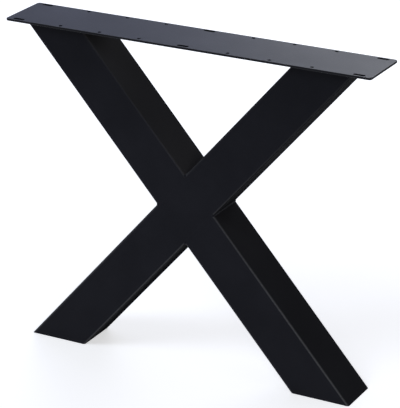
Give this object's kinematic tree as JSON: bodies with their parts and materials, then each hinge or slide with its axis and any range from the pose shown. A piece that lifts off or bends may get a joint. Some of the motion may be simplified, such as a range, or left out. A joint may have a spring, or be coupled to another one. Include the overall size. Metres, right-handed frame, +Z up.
{
  "type": "x shaped table leg",
  "caption": "Welded X-shaped steel table leg: crossing square tubes under a flat top plate with slots and screw holes, with level-cut closed feet, black powder-coated.",
  "frame": {"origin": "on the floor, under the middle of the leg", "axes": "+X along the top plate, +Y from the front to the back, +Z up to the table top"},
  "size_m": [0.835, 0.13, 0.72],
  "materials": {
    "powder_coat": "fine satin-matt black powder coat"
  },
  "bodies": {
    "root": {"top_plate": "powder_coat", "through_tube": "powder_coat", "upper_half_tube": "powder_coat", "lower_half_tube": "powder_coat", "left_foot_plate": "powder_coat", "right_foot_plate": "powder_coat", "left_plate_welds": "powder_coat", "right_plate_welds": "powder_coat", "upper_joint_fillet_welds": "powder_coat", "lower_joint_fillet_welds": "powder_coat", "upper_joint_flush_welds": "powder_coat", "lower_joint_flush_welds": "powder_coat"}
  },
  "joints": []
}
